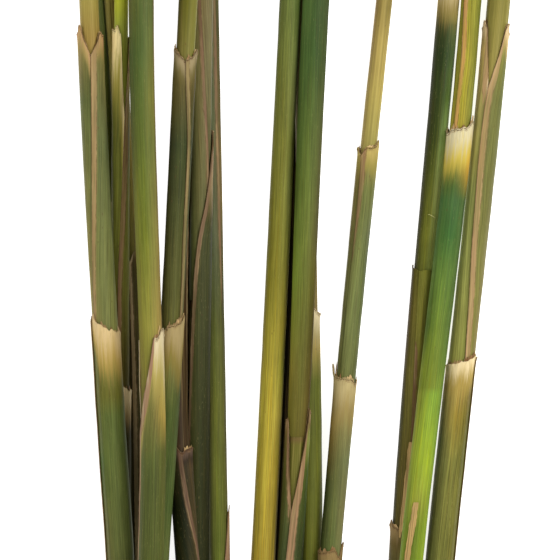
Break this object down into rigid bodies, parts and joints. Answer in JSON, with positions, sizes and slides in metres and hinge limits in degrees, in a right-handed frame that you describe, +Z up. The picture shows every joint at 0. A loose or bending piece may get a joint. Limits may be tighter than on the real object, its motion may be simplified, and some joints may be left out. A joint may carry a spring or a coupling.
{
  "type": "bundle of dried reeds",
  "caption": "Loose bundle of cut dried reeds lying flat, each culm wrapped in overlapping green and straw leaf sheaths with ragged pale collars, for floral display and decoration",
  "frame": {"origin": "centre of the bounding box in X and Y, on the surface the reeds lie on", "axes": "+Y runs along the reeds from their cut butts to their tips, +Z is up away from the surface, +X runs across the bundle"},
  "size_m": [0.1766, 0.4548, 0.0408],
  "materials": {
    "culm": "dry satin culm, straw to olive",
    "sheath": "dry papery leaf sheath, grey-green with straw collars"
  },
  "bodies": {
    "root": {"reed_a_culm": "culm", "reed_a_sheath_1": "sheath", "reed_a_sheath_2": "sheath", "reed_a_sheath_3": "sheath", "reed_b_culm": "culm", "reed_b_sheath_1": "sheath", "reed_b_sheath_2": "sheath", "reed_c_culm": "culm", "reed_c_sheath_1": "sheath", "reed_c_sheath_2": "sheath", "reed_c_sheath_3": "sheath", "reed_d_culm": "culm", "reed_d_sheath_1": "sheath", "reed_d_sheath_2": "sheath", "reed_d_sheath_3": "sheath", "reed_e_culm": "culm", "reed_e_sheath_1": "sheath", "reed_e_sheath_2": "sheath", "reed_f_culm": "culm", "reed_f_sheath_1": "sheath", "reed_f_sheath_2": "sheath", "reed_f_sheath_3": "sheath", "reed_g_culm": "culm", "reed_h_culm": "culm", "reed_h_sheath_1": "sheath", "reed_h_sheath_2": "sheath", "reed_h_sheath_3": "sheath", "reed_i_culm": "culm", "reed_i_sheath_1": "sheath", "reed_i_sheath_2": "sheath", "reed_k_culm": "culm", "reed_k_sheath_1": "sheath", "reed_k_sheath_2": "sheath", "reed_l_culm": "culm", "reed_l_sheath_1": "sheath", "reed_l_sheath_2": "sheath", "reed_m_culm": "culm", "reed_m_sheath_1": "sheath", "reed_m_sheath_2": "sheath", "reed_m_sheath_3": "sheath", "reed_n_culm": "culm", "reed_n_sheath_1": "sheath", "reed_n_sheath_2": "sheath", "reed_o_culm": "culm", "reed_o_sheath_1": "sheath", "reed_o_sheath_2": "sheath", "reed_o_sheath_3": "sheath", "reed_o_sheath_4": "sheath", "reed_p_culm": "culm", "reed_p_sheath_1": "sheath", "reed_p_sheath_2": "sheath", "reed_p_sheath_3": "sheath", "reed_q_culm": "culm", "reed_q_sheath_1": "sheath", "reed_q_sheath_2": "sheath", "reed_q_sheath_3": "sheath", "reed_r_culm": "culm", "reed_r_sheath_1": "sheath", "reed_r_sheath_2": "sheath", "reed_r_sheath_3": "sheath"}
  },
  "joints": []
}
